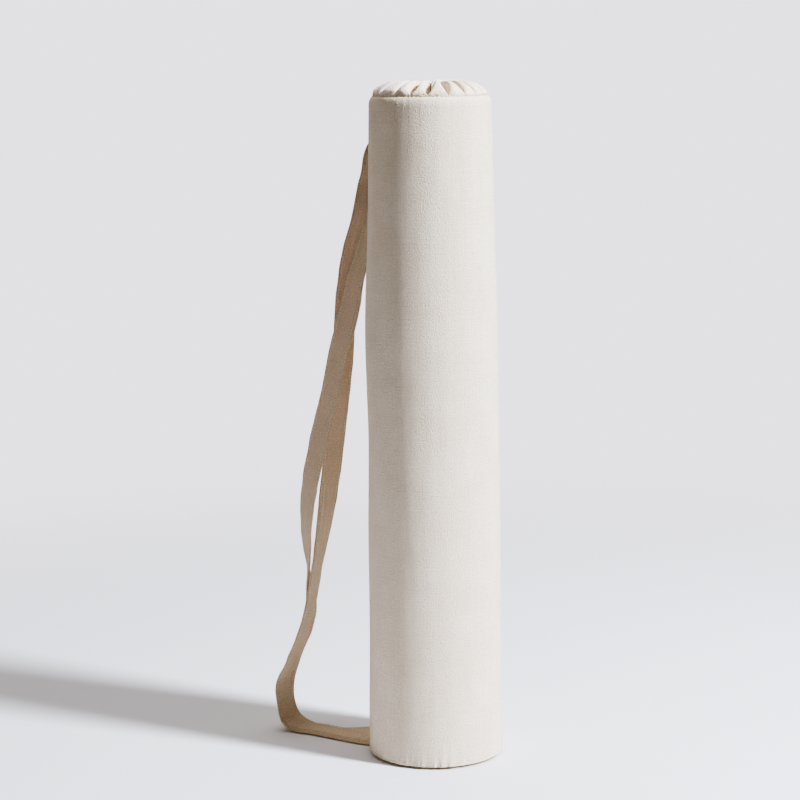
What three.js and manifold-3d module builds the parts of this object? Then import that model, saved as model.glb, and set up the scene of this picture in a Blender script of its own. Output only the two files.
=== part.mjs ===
// Yoga mat bag, filled out and standing upright, with two carry straps behind it on the left.
// Millimetres, +Z up. The origin is the middle of the base panel, on the floor, and the front is -Y.
// A bearing is an angle in plan, in degrees, from -X (the bag's left) towards +Y (its back).

import * as THREE from "three";
import { mergeVertices } from "three/addons/utils/BufferGeometryUtils.js";
import Module from "manifold-3d";

const wasm = await Module();
wasm.setup();

// Driving dimensions. strapNear and strapTuck are shares of baseRadius: where a strap nears the
// base seam, and where its end would lie if the tube didn't stop it.
const bagHeight = 616;
const baseRadius = 63;
const bodyWall = 1.5;
const lipRadius = 4.5;
const panelThickness = 3.4;
const panelEdgeRadius = 2.4;
const pieceGap = 0.3;
const topHeight = 12.7;
const topCloth = 1.1;
const throatRadius = 15.5;
const pleatBulge = 4;
const pleatCount = 18;
const strapWidth = 25;
const strapThickness = 2;
const strapEdge = 0.5;
const floorLift = 0.15;
const strapNear = 1.14;
const strapTuck = 0.96;

// How finely the soft surfaces are cut
const bodyColumns = 48;
const bodyRows = 14;
const lipSteps = 3;
const columnsPerPleat = 8;
const panelEdgeSteps = 3;
const stepsPerStation = 2;

// Outer radius of the filled tube: height as a share of bagHeight, radius as a share of baseRadius
const bodyProfile = [
  { height: 0.0, radius: 1.0 },
  { height: 0.08, radius: 0.997 },
  { height: 0.18, radius: 0.981 },
  { height: 0.36, radius: 0.981 },
  { height: 0.5, radius: 0.971 },
  { height: 0.65, radius: 0.967 },
  { height: 0.76, radius: 0.938 },
  { height: 0.86, radius: 0.914 },
  { height: 1.0, radius: 0.884 },
];

// Soft bulges and hollows of the tube: centre, half size in height and bearing, and depth as a
// share of baseRadius, outwards where it is positive
const bodySwells = [
  { height: 0.68, bearing: 5, tall: 0.09, wide: 38, depth: 0.02 },
  { height: 0.48, bearing: 2, tall: 0.08, wide: 34, depth: -0.014 },
  { height: 0.3, bearing: 178, tall: 0.12, wide: 40, depth: 0.008 },
  { height: 0.56, bearing: 190, tall: 0.09, wide: 36, depth: -0.01 },
  { height: 0.4, bearing: 95, tall: 0.14, wide: 45, depth: 0.01 },
];

// The gathered top from its seam to its throat. reach runs from 1 at the seam to 0 at the throat,
// lift is a share of topHeight at the ridges, fold is the ridges' height over the valleys as a
// share of topHeight, and sway pinches the valleys, as a share of an eighth of a pleat.
const topProfile = [
  { reach: 1.0, lift: 0.0, fold: 0.0, sway: 0.0 },
  { reach: 1.02, lift: 0.11, fold: 0.04, sway: 0.05 },
  { reach: 0.985, lift: 0.27, fold: 0.13, sway: 0.2 },
  { reach: 0.87, lift: 0.55, fold: 0.28, sway: 0.4 },
  { reach: 0.71, lift: 0.82, fold: 0.43, sway: 0.52 },
  { reach: 0.52, lift: 0.97, fold: 0.53, sway: 0.6 },
  { reach: 0.32, lift: 1.0, fold: 0.6, sway: 0.65 },
  { reach: 0.13, lift: 0.92, fold: 0.61, sway: 0.68 },
  { reach: 0.0, lift: 0.73, fold: 0.56, sway: 0.68 },
];

// Each pleat in turn, from the front towards the right: its width over the mean, its height over
// the mean, and how far its crest leans sideways, as a share of its width
const pleats = [
  { width: 1.06, height: 1.0, lean: 0.1 },
  { width: 0.94, height: 0.95, lean: 0.42 },
  { width: 1.04, height: 0.97, lean: 0.2 },
  { width: 1.0, height: 0.93, lean: 0.3 },
  { width: 0.95, height: 1.02, lean: -0.1 },
  { width: 1.08, height: 0.96, lean: 0.15 },
  { width: 0.97, height: 1.0, lean: -0.2 },
  { width: 1.02, height: 0.94, lean: 0.1 },
  { width: 0.93, height: 1.03, lean: 0.25 },
  { width: 1.05, height: 0.98, lean: -0.15 },
  { width: 1.0, height: 0.95, lean: 0.05 },
  { width: 0.96, height: 1.01, lean: 0.2 },
  { width: 1.04, height: 0.97, lean: -0.25 },
  { width: 0.98, height: 1.02, lean: 0.1 },
  { width: 1.03, height: 1.0, lean: -0.3 },
  { width: 0.94, height: 0.98, lean: -0.35 },
  { width: 1.05, height: 1.03, lean: -0.1 },
  { width: 0.96, height: 0.99, lean: -0.2 },
];

// Each strap is sewn in at a bearing on the rim and one on the base, and its route hangs between
// them: rise is a share of bagHeight, reach a share of baseRadius, and face is the direction in
// plan of the line across the tape, in degrees from +X towards +Y.
const frontStrap = {
  rimBearing: 66,
  baseBearing: 22,
  route: [
    { rise: 0.975, reach: 0.96, bearing: 64, face: 28 },
    { rise: 0.95, reach: 1.08, bearing: 56, face: 38 },
    { rise: 0.92, reach: 1.235, bearing: 47.5, face: 50 },
    { rise: 0.885, reach: 1.325, bearing: 45, face: 60 },
    { rise: 0.855, reach: 1.395, bearing: 43.9, face: 59 },
    { rise: 0.82, reach: 1.443, bearing: 42.9, face: 54 },
    { rise: 0.76, reach: 1.594, bearing: 39.95, face: 53 },
    { rise: 0.7, reach: 1.69, bearing: 39, face: 50 },
    { rise: 0.62, reach: 1.74, bearing: 39.5, face: 40 },
    { rise: 0.54, reach: 1.82, bearing: 39, face: 43 },
    { rise: 0.46, reach: 1.92, bearing: 37.8, face: 43 },
    { rise: 0.38, reach: 2.015, bearing: 36.5, face: 48 },
    { rise: 0.32, reach: 2.09, bearing: 35, face: 59 },
    { rise: 0.26, reach: 2.16, bearing: 32.7, face: 69 },
    { rise: 0.2, reach: 2.24, bearing: 30.6, face: 68 },
    { rise: 0.155, reach: 2.35, bearing: 29.4, face: 64 },
    { rise: 0.115, reach: 2.49, bearing: 28, face: 60 },
    { rise: 0.075, reach: 2.66, bearing: 26.6, face: 60 },
    { rise: 0.04, reach: 2.62, bearing: 26.4, face: 58 },
    { rise: 0.017, reach: 2.55, bearing: 26.4, face: 55 },
    { rise: 0.0075, reach: 2.33, bearing: 26.7, face: 52 },
    { rise: 0.0066, reach: 2.02, bearing: 26.8, face: 52 },
    { rise: 0.0066, reach: 1.68, bearing: 25.3, face: 54 },
    { rise: 0.0062, reach: 1.36, bearing: 23.3, face: 60 },
  ],
};

const rearStrap = {
  rimBearing: 36,
  baseBearing: 58,
  route: [
    { rise: 0.975, reach: 0.945, bearing: 36, face: 56 },
    { rise: 0.93, reach: 0.965, bearing: 36, face: 62 },
    { rise: 0.88, reach: 1.0, bearing: 35.5, face: 80 },
    { rise: 0.835, reach: 1.06, bearing: 35, face: 100 },
    { rise: 0.795, reach: 1.135, bearing: 34.5, face: 119 },
    { rise: 0.76, reach: 1.22, bearing: 33, face: 126 },
    { rise: 0.725, reach: 1.32, bearing: 31, face: 132 },
    { rise: 0.68, reach: 1.42, bearing: 30.3, face: 137 },
    { rise: 0.61, reach: 1.61, bearing: 29.2, face: 138 },
    { rise: 0.54, reach: 1.775, bearing: 28.4, face: 137 },
    { rise: 0.46, reach: 1.985, bearing: 27.5, face: 135 },
    { rise: 0.39, reach: 2.145, bearing: 27.3, face: 126 },
    { rise: 0.33, reach: 2.245, bearing: 28.9, face: 116 },
    { rise: 0.28, reach: 2.3, bearing: 31.3, face: 104 },
    { rise: 0.235, reach: 2.345, bearing: 33.6, face: 84 },
    { rise: 0.19, reach: 2.365, bearing: 35.4, face: 70 },
    { rise: 0.15, reach: 2.46, bearing: 34.9, face: 64 },
    { rise: 0.11, reach: 2.62, bearing: 32.6, face: 60 },
    { rise: 0.07, reach: 2.71, bearing: 30.9, face: 60 },
    { rise: 0.037, reach: 2.71, bearing: 30.5, face: 58 },
    { rise: 0.014, reach: 2.61, bearing: 30.4, face: 55 },
    { rise: 0.003, reach: 2.38, bearing: 30.4, face: 52 },
    { rise: 0.002, reach: 2.02, bearing: 29.2, face: 54 },
    { rise: 0.002, reach: 1.74, bearing: 29.6, face: 60 },
    { rise: 0.002, reach: 1.5, bearing: 35, face: 72 },
    { rise: 0.0025, reach: 1.3, bearing: 45.5, face: 66 },
  ],
};

// Sizes that follow from the driving ones
const seamHeight = panelThickness + pieceGap;
const rimRadius = baseRadius * bodyProfile[bodyProfile.length - 1].radius;
const lipEdgeRadius = rimRadius - lipRadius;
const topSeamRadius = lipEdgeRadius + topCloth / 2;
const topSeamHeight = bagHeight + pieceGap + topCloth / 4;
const eighthPleat = 1 / 8;

const cloth = (color) => new THREE.MeshStandardMaterial({ color, roughness: 0.92, metalness: 0 });
const creamCloth = cloth(0xe6dfd2);
const pleatCloth = cloth(0xe2dacc);
const panelCloth = cloth(0xd9d1c3);
const strapCloth = cloth(0xd2c4ae);

const radians = (degrees) => THREE.MathUtils.degToRad(degrees);

// A point in plan at a bearing and a distance from the axis
function planPoint(bearing, reach, z) {
  const angle = radians(bearing);
  return new THREE.Vector3(-reach * Math.cos(angle), reach * Math.sin(angle), z);
}

// Smooth reading of one column of a table at a key between its rows
function readTable(rows, key, column, at) {
  let upper = rows.findIndex((row) => row[key] >= at);
  if (upper < 0) upper = rows.length - 1;
  upper = Math.max(upper, 1);
  const low = rows[upper - 1];
  const high = rows[upper];
  const before = rows[Math.max(upper - 2, 0)];
  const after = rows[Math.min(upper + 1, rows.length - 1)];
  const span = high[key] - low[key];
  const t = THREE.MathUtils.clamp((at - low[key]) / span, 0, 1);
  const slopeLow = (high[column] - before[column]) / (high[key] - before[key]);
  const slopeHigh = (after[column] - low[column]) / (after[key] - low[key]);
  const t2 = t * t;
  const t3 = t2 * t;
  return (2 * t3 - 3 * t2 + 1) * low[column] + (t3 - 2 * t2 + t) * span * slopeLow
    + (3 * t2 - 2 * t3) * high[column] + (t3 - t2) * span * slopeHigh;
}

// A closed body from rings of points: each ring is closed, and the rings close on each other
// unless both ends are capped
function ringsToBody(rings, capped) {
  const perRing = rings[0].length;
  const positions = rings.flat().flatMap((point) => point.toArray());
  const faces = [];
  const links = capped ? rings.length - 1 : rings.length;
  for (let ring = 0; ring < links; ring++) {
    const here = ring * perRing;
    const next = ((ring + 1) % rings.length) * perRing;
    for (let i = 0; i < perRing; i++) {
      const j = (i + 1) % perRing;
      faces.push(here + i, here + j, next + j);
      faces.push(here + i, next + j, next + i);
    }
  }
  if (capped) {
    const last = (rings.length - 1) * perRing;
    for (let i = 1; i < perRing - 1; i++) {
      faces.push(0, i + 1, i);
      faces.push(last, last + i, last + i + 1);
    }
  }
  const body = new THREE.BufferGeometry();
  body.setAttribute("position", new THREE.Float32BufferAttribute(positions, 3));
  body.setIndex(faces);
  return facingOut(body);
}

// The same body with its faces turned outwards
function facingOut(body) {
  const index = body.getIndex().array;
  const corners = [new THREE.Vector3(), new THREE.Vector3(), new THREE.Vector3()];
  const position = body.getAttribute("position");
  let volume = 0;
  for (let i = 0; i < index.length; i += 3) {
    corners.forEach((corner, k) => corner.fromBufferAttribute(position, index[i + k]));
    volume += corners[0].dot(corners[1].clone().cross(corners[2]));
  }
  if (volume < 0) {
    for (let i = 0; i < index.length; i += 3) {
      [index[i], index[i + 1]] = [index[i + 1], index[i]];
    }
  }
  body.computeVertexNormals();
  return body;
}

function toSolid(geometry) {
  const bare = geometry.clone();
  bare.deleteAttribute("normal");
  bare.deleteAttribute("uv");
  const merged = mergeVertices(bare, 1e-4);
  const vertProperties = new Float32Array(merged.getAttribute("position").array);
  const triVerts = new Uint32Array(merged.getIndex().array);
  return new wasm.Manifold(new wasm.Mesh({ numProp: 3, vertProperties, triVerts }));
}

function toGeometry(solid) {
  const mesh = solid.getMesh();
  const geometry = new THREE.BufferGeometry();
  geometry.setAttribute("position", new THREE.BufferAttribute(mesh.vertProperties, 3));
  geometry.setIndex(new THREE.BufferAttribute(mesh.triVerts, 1));
  geometry.computeVertexNormals();
  return geometry;
}

// How far the filled tube stands out at a height share and a bearing
function bodyRadius(share, bearing) {
  const radius = readTable(bodyProfile, "height", "radius", share);
  let swell = 0;
  for (const row of bodySwells) {
    const across = Math.abs(((bearing - row.bearing + 540) % 360) - 180) / row.wide;
    const along = Math.abs(share - row.height) / row.tall;
    swell += row.depth * Math.exp(-across * across - along * along);
  }
  return baseRadius * (radius + swell);
}

// One ring of the tube's skin, pushed out by a distance, at a height and a turn into the lip
function bodyRing(share, inset, turn, offset) {
  const z = bagHeight * share;
  const lip = lipRadius + offset;
  const ring = [];
  for (let column = 0; column < bodyColumns; column++) {
    const bearing = (column * 360) / bodyColumns;
    const edge = bodyRadius(share, bearing) - lipRadius * inset;
    const reach = edge + (inset ? lip * Math.cos(turn) : offset);
    ring.push(planPoint(bearing, reach, z + (inset ? lip * Math.sin(turn) : 0)));
  }
  return ring;
}

// The tube's skin from the base seam to the lip's edge, pushed out by a distance
function bodySkin(offset, foot) {
  const rings = [];
  const lipShare = (bagHeight - lipRadius) / bagHeight;
  const footShare = foot / bagHeight;
  for (let row = 0; row < bodyRows; row++) {
    const share = footShare + ((lipShare - footShare) * row) / bodyRows;
    rings.push(bodyRing(share, 0, 0, offset));
  }
  for (let step = 0; step <= lipSteps; step++) {
    rings.push(bodyRing(lipShare, 1, ((Math.PI / 2) * step) / lipSteps, offset));
  }
  return rings;
}

function tubeBody() {
  const outer = bodySkin(0, seamHeight);
  const inner = bodySkin(-bodyWall, seamHeight);
  return ringsToBody([...outer, ...inner.reverse()], false);
}

function basePanel() {
  const points = [new THREE.Vector2(0, 0)];
  for (let step = 0; step <= panelEdgeSteps; step++) {
    const turn = ((Math.PI / 2) * step) / panelEdgeSteps;
    const reach = baseRadius - panelEdgeRadius + panelEdgeRadius * Math.sin(turn);
    points.push(new THREE.Vector2(reach, panelEdgeRadius * (1 - Math.cos(turn))));
  }
  points.push(new THREE.Vector2(baseRadius, panelThickness));
  points.push(new THREE.Vector2(0, panelThickness));
  const panel = new THREE.LatheGeometry(points, bodyColumns);
  panel.rotateX(Math.PI / 2);
  return panel;
}

// Pleat edges round the top, worked out from the pleats' widths
function pleatStarts() {
  const total = pleats.reduce((sum, pleat) => sum + pleat.width, 0);
  const starts = [];
  let angle = -(Math.PI * pleats[0].width) / total;
  for (const pleat of pleats) {
    const width = (2 * Math.PI * pleat.width) / total;
    starts.push({ angle, width });
    angle += width;
  }
  return starts;
}

// How far the cloth's middle reaches at a ring of the top, from valley (crest 0) to ridge (crest 1)
function topReach(row, crest) {
  const radius = throatRadius + (topSeamRadius - throatRadius) * row.reach;
  return radius + topCloth * row.fold * pleatBulge * crest * row.reach;
}

// The middle of the cloth at a ring of the top, one point for each column
function topRing(row) {
  const starts = pleatStarts();
  const ring = [];
  for (let index = 0; index < pleatCount; index++) {
    const pleat = pleats[index % pleats.length];
    const start = starts[index % starts.length];
    for (let column = 0; column < columnsPerPleat; column++) {
      const phase = (2 * Math.PI * column) / columnsPerPleat;
      const crest = 0.5 - 0.5 * Math.cos(phase);
      const pinch = row.sway * eighthPleat * Math.sin(2 * phase);
      const lean = row.fold * pleat.lean * crest;
      const share = column / columnsPerPleat + pinch + lean;
      const angle = start.angle + start.width * share - Math.PI / 2;
      const lift = row.lift - row.fold * (1 - crest) + row.lift * (pleat.height - 1) * crest;
      const reach = topReach(row, crest);
      const z = topSeamHeight + topHeight * lift;
      ring.push(new THREE.Vector3(reach * Math.cos(angle), reach * Math.sin(angle), z));
    }
  }
  return ring;
}

// The cloth's rings moved half its thickness to one side, along the surface's own normals
function offsetRings(rings, distance) {
  const perRing = rings[0].length;
  return rings.map((ring, r) => ring.map((point, i) => {
    const along = rings[Math.min(r + 1, rings.length - 1)][i].clone();
    along.sub(rings[Math.max(r - 1, 0)][i]);
    const across = ring[(i + 1) % perRing].clone().sub(ring[(i + perRing - 1) % perRing]);
    const normal = across.cross(along).normalize();
    return point.clone().addScaledVector(normal, distance);
  }));
}

function gatheredTop() {
  const rings = topProfile.map(topRing);
  const outer = offsetRings(rings, topCloth / 2);
  const inner = offsetRings(rings, -topCloth / 2);
  return ringsToBody([...outer, ...inner.reverse()], false);
}

// A strap's stations from the rim seam to the base seam: a place and the width line's direction
function strapStations(strap) {
  const high = bagHeight + pieceGap + strapThickness / 2;
  const low = seamHeight;
  const rimFace = 90 - strap.rimBearing;
  const baseFace = 90 - strap.baseBearing;
  const rimReach = rimRadius + pieceGap + strapThickness / 2;
  const stations = [
    { place: planPoint(strap.rimBearing, topSeamRadius, high), face: rimFace },
    { place: planPoint(strap.rimBearing, rimRadius - lipRadius / 2, high), face: rimFace },
    { place: planPoint(strap.rimBearing, rimReach, bagHeight - lipRadius / 2), face: rimFace },
  ];
  for (const row of strap.route) {
    const place = planPoint(row.bearing, baseRadius * row.reach, bagHeight * row.rise);
    stations.push({ place, face: row.face });
  }
  const clearance = strapThickness / 2 + floorLift;
  for (const share of [strapNear, strapTuck]) {
    stations.push({ place: planPoint(strap.baseBearing, baseRadius * share, low), face: baseFace });
  }
  for (const station of stations) station.place.z = Math.max(station.place.z, clearance);
  return stations;
}

// The strap tape: a flat section with eased edges, carried along its stations
function strapTape(strap) {
  const stations = strapStations(strap);
  const route = new THREE.CatmullRomCurve3(stations.map((station) => station.place), false, "centripetal");
  const knots = stations.length - 1;
  const half = strapWidth / 2;
  const deep = strapThickness / 2;
  const section = [
    [-half, 0],
    [-half + strapEdge, -deep],
    [half - strapEdge, -deep],
    [half, 0],
    [half - strapEdge, deep],
    [-half + strapEdge, deep],
  ];
  const rings = [];
  for (let step = 0; step <= knots * stepsPerStation; step++) {
    const at = step / stepsPerStation;
    const low = Math.min(Math.floor(at), knots - 1);
    const face = THREE.MathUtils.lerp(stations[low].face, stations[low + 1].face, at - low);
    const place = route.getPoint(at / knots);
    const along = route.getTangent(at / knots);
    const across = new THREE.Vector3(Math.cos(radians(face)), Math.sin(radians(face)), 0);
    across.addScaledVector(along, -across.dot(along)).normalize();
    const through = across.clone().cross(along);
    rings.push(section.map(([x, y]) => place.clone()
      .addScaledVector(across, x)
      .addScaledVector(through, y)));
  }
  return ringsToBody(rings, true);
}

// Everything that a strap's ends stop at, with the clearance that touching pieces keep
function bagClearance() {
  const rings = bodySkin(pieceGap, -strapWidth);
  const reaches = topProfile.map((row) => topReach(row, 1));
  const topEdge = Math.max(...reaches) + topCloth / 2 + pieceGap;
  const crown = [];
  for (let column = 0; column < bodyColumns; column++) {
    crown.push(planPoint((column * 360) / bodyColumns, topEdge, bagHeight));
  }
  const cap = crown.map((point) => point.clone().setZ(bagHeight + topHeight));
  return toSolid(ringsToBody(rings, true)).add(toSolid(ringsToBody([crown, cap], true)));
}

function strap(route, clearance) {
  return toGeometry(toSolid(strapTape(route)).subtract(clearance));
}

function named(name, geometry, material) {
  const mesh = new THREE.Mesh(geometry, material);
  mesh.name = name;
  return mesh;
}

const clearance = bagClearance();
const bag = new THREE.Group();
bag.add(named("base_panel", basePanel(), panelCloth));
bag.add(named("tube_body", tubeBody(), creamCloth));
bag.add(named("gathered_top", gatheredTop(), pleatCloth));
bag.add(named("strap_front", strap(frontStrap, clearance), strapCloth));
bag.add(named("strap_rear", strap(rearStrap, clearance), strapCloth));

export default bag;
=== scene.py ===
"""A yoga mat bag of undyed cotton and linen, filled out and standing, with two carry straps.

Metres, +Z up, and the front is -Y. A bearing is an angle in plan, in degrees, from -X (the bag's left)
towards +Y (its back).
"""

import math

import bmesh
import bpy
import numpy as np
from mathutils import Matrix, Vector, noise


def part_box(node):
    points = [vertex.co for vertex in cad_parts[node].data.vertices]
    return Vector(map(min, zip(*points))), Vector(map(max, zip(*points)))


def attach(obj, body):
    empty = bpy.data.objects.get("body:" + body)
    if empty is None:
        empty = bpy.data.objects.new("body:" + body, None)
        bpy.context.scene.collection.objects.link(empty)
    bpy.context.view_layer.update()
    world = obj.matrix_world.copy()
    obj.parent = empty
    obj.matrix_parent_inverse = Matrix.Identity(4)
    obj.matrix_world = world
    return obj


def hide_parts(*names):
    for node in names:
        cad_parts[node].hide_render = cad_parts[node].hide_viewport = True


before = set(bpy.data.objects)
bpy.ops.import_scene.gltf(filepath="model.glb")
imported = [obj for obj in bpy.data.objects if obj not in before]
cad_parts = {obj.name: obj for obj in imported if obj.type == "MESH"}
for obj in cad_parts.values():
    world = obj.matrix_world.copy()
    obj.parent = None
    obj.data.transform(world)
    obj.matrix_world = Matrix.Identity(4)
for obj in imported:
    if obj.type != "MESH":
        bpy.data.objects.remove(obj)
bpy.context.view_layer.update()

MM = 0.001

# Sizes that the frame gives
BASE_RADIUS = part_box("base_panel")[1].x
PANEL_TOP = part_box("base_panel")[1].z
TUBE_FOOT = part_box("tube_body")[0].z
BAG_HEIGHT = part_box("tube_body")[1].z
TOP_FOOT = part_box("gathered_top")[0].z
TOP_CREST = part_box("gathered_top")[1].z
PIECE_GAP = TUBE_FOOT - PANEL_TOP

# The tube
BODY_WALL = 1.5 * MM
LIP_RADIUS = 4.5 * MM
LIP_START = BAG_HEIGHT - LIP_RADIUS
# The finished rim is rounder than the frame's: it turns in over LIP_DROP, from LIP_FOOT
LIP_DROP = 8.5 * MM
LIP_FOOT = BAG_HEIGHT - LIP_DROP
FOOT_TURN = 1.7 * MM
CAD_COLUMNS = 48
TUBE_COLUMNS = 288
LAP_BEARING = 50.0
LAP_WIDTH = 9 * MM
LAP_RISE = 0.7 * MM

# The base panel
PANEL_FLAT = BASE_RADIUS - 2.5 * MM
PANEL_EDGE = 0.7 * MM
PANEL_RINGS = 26

# The gathered top
THROAT_RADIUS = 15.5 * MM
TOP_CLOTH = 1.1 * MM
PLEAT_COLUMNS = 28
TOP_RINGS = 50
SEAM_SHARE = 0.14
LOBE_SQUARENESS = 2.7
TOP_TWIST = 7.0
HEM_DEPTH = 8 * MM

# The straps
STRAP_WIDTH = 25 * MM
STRAP_THICKNESS = 2 * MM
STRAP_STEP = 2.2 * MM
STITCH_INSET = 2.6 * MM
STITCH_GROOVE = 0.5 * MM
MARGIN_WIDTH = 6.2 * MM
MARGIN_STEP = 0.3 * MM
FLOOR_LIFT = 0.15 * MM
SEAM_ALLOWANCE = 20 * MM
SETTLE_START = 3.5 * MM
SETTLE_DEPTH = 2.7 * MM
NEAR_SEED = 3
FAR_SEED = 8

# Sewing
STITCH_PITCH = 3.1 * MM
STITCH_LENGTH = 2.3 * MM
STITCH_THICKNESS = 0.6 * MM
EDGE_THREAD = 0.95 * MM
TUBE_PITCH = 3.8 * MM
BASE_STITCH = TUBE_FOOT + 1.3 * MM
RIM_STITCH_TURN = 76
HEM_STITCH_RING = 46

# The gathered top from its tucked edge, over the rim, to its throat. reach runs from 1 at the seam to
# 0 at the throat, lift is a share of the top's height at the ridges, and fold is the valleys' depth
# in the same share.
TOP_PROFILE = [
    {"reach": 0.95, "lift": -0.15, "fold": 0.0},
    {"reach": 0.971, "lift": -0.04, "fold": 0.0},
    {"reach": 0.979, "lift": 0.03, "fold": 0.02},
    {"reach": 0.974, "lift": 0.16, "fold": 0.15},
    {"reach": 0.922, "lift": 0.4, "fold": 0.38},
    {"reach": 0.8, "lift": 0.66, "fold": 0.61},
    {"reach": 0.62, "lift": 0.91, "fold": 0.82},
    {"reach": 0.44, "lift": 1.0, "fold": 0.9},
    {"reach": 0.25, "lift": 0.98, "fold": 0.88},
    {"reach": 0.1, "lift": 0.9, "fold": 0.79},
    {"reach": 0.0, "lift": 0.73, "fold": 0.62},
]

# Each pleat in turn, towards the right from FIRST_PLEAT degrees off the front: its width in degrees,
# its height over the mean, how far its crest leans sideways as a share of its width, and the open
# gap after it in millimetres
FIRST_PLEAT = -2.3
PLEATS = [
    {"width": 21.0, "height": 1.0, "lean": 0.02, "gap": 6.2},
    {"width": 19.5, "height": 0.95, "lean": -0.1, "gap": 2.8},
    {"width": 15.0, "height": 0.97, "lean": -0.1, "gap": 2.0},
    {"width": 16.0, "height": 0.93, "lean": -0.22, "gap": 1.7},
    {"width": 21.0, "height": 0.95, "lean": -0.05, "gap": 2.4},
    {"width": 20.0, "height": 0.93, "lean": 0.1, "gap": 1.8},
    {"width": 22.0, "height": 0.98, "lean": -0.15, "gap": 2.2},
    {"width": 19.0, "height": 0.96, "lean": 0.12, "gap": 1.7},
    {"width": 22.5, "height": 1.0, "lean": 0.05, "gap": 2.8},
    {"width": 20.0, "height": 0.96, "lean": -0.12, "gap": 1.8},
    {"width": 21.5, "height": 1.01, "lean": 0.14, "gap": 2.3},
    {"width": 19.5, "height": 0.97, "lean": -0.08, "gap": 1.7},
    {"width": 22.0, "height": 1.0, "lean": 0.1, "gap": 2.6},
    {"width": 20.5, "height": 0.96, "lean": 0.16, "gap": 1.9},
    {"width": 21.8, "height": 0.98, "lean": 0.1, "gap": 3.4},
    {"width": 24.6, "height": 1.0, "lean": 0.06, "gap": 3.4},
    {"width": 17.6, "height": 1.0, "lean": -0.2, "gap": 8.4},
    {"width": 16.5, "height": 1.0, "lean": -0.08, "gap": 7.4},
]

# Each strap is sewn in at a bearing on the rim and one on the base, and its route hangs between
# them: rise is a share of the bag's height, reach a share of its base radius, face is the
# direction in plan of the line across the tape, in degrees from +X towards +Y, and cup is how far
# the tape's middle stands off its edges, in millimetres.
NEAR_STRAP = {
    "rim_bearing": 66,
    "base_bearing": 22,
    "route": [
        {"rise": 0.975, "reach": 0.96, "bearing": 64, "face": 28, "cup": 0.2},
        {"rise": 0.95, "reach": 1.08, "bearing": 56, "face": 38, "cup": 0.3},
        {"rise": 0.92, "reach": 1.235, "bearing": 47.5, "face": 50, "cup": 0.6},
        {"rise": 0.885, "reach": 1.325, "bearing": 45, "face": 60, "cup": 0.9},
        {"rise": 0.855, "reach": 1.395, "bearing": 43.9, "face": 59, "cup": 1.0},
        {"rise": 0.82, "reach": 1.443, "bearing": 42.9, "face": 54, "cup": 1.0},
        {"rise": 0.76, "reach": 1.594, "bearing": 39.95, "face": 53, "cup": 0.8},
        {"rise": 0.7, "reach": 1.69, "bearing": 39, "face": 50, "cup": 0.6},
        {"rise": 0.62, "reach": 1.74, "bearing": 39.5, "face": 40, "cup": 0.5},
        {"rise": 0.54, "reach": 1.82, "bearing": 39, "face": 43, "cup": 0.5},
        {"rise": 0.46, "reach": 1.92, "bearing": 37.8, "face": 43, "cup": 0.6},
        {"rise": 0.38, "reach": 2.015, "bearing": 36.5, "face": 48, "cup": 0.6},
        {"rise": 0.32, "reach": 2.09, "bearing": 35, "face": 59, "cup": 0.5},
        {"rise": 0.26, "reach": 2.16, "bearing": 32.7, "face": 69, "cup": 0.3},
        {"rise": 0.2, "reach": 2.24, "bearing": 30.6, "face": 68, "cup": 0.3},
        {"rise": 0.155, "reach": 2.35, "bearing": 29.4, "face": 64, "cup": 0.5},
        {"rise": 0.115, "reach": 2.49, "bearing": 28, "face": 60, "cup": 0.8},
        {"rise": 0.075, "reach": 2.66, "bearing": 26.6, "face": 60, "cup": 0.9},
        {"rise": 0.04, "reach": 2.62, "bearing": 26.4, "face": 58, "cup": 0.6},
        {"rise": 0.017, "reach": 2.55, "bearing": 26.4, "face": 55, "cup": 0.3},
        {"rise": 0.0075, "reach": 2.33, "bearing": 26.7, "face": 52, "cup": 0.2},
        {"rise": 0.0066, "reach": 2.02, "bearing": 26.8, "face": 52, "cup": 0.1},
        {"rise": 0.0066, "reach": 1.68, "bearing": 25.3, "face": 54, "cup": 0.1},
        {"rise": 0.0062, "reach": 1.36, "bearing": 23.3, "face": 60, "cup": 0.0},
    ],
}

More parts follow.
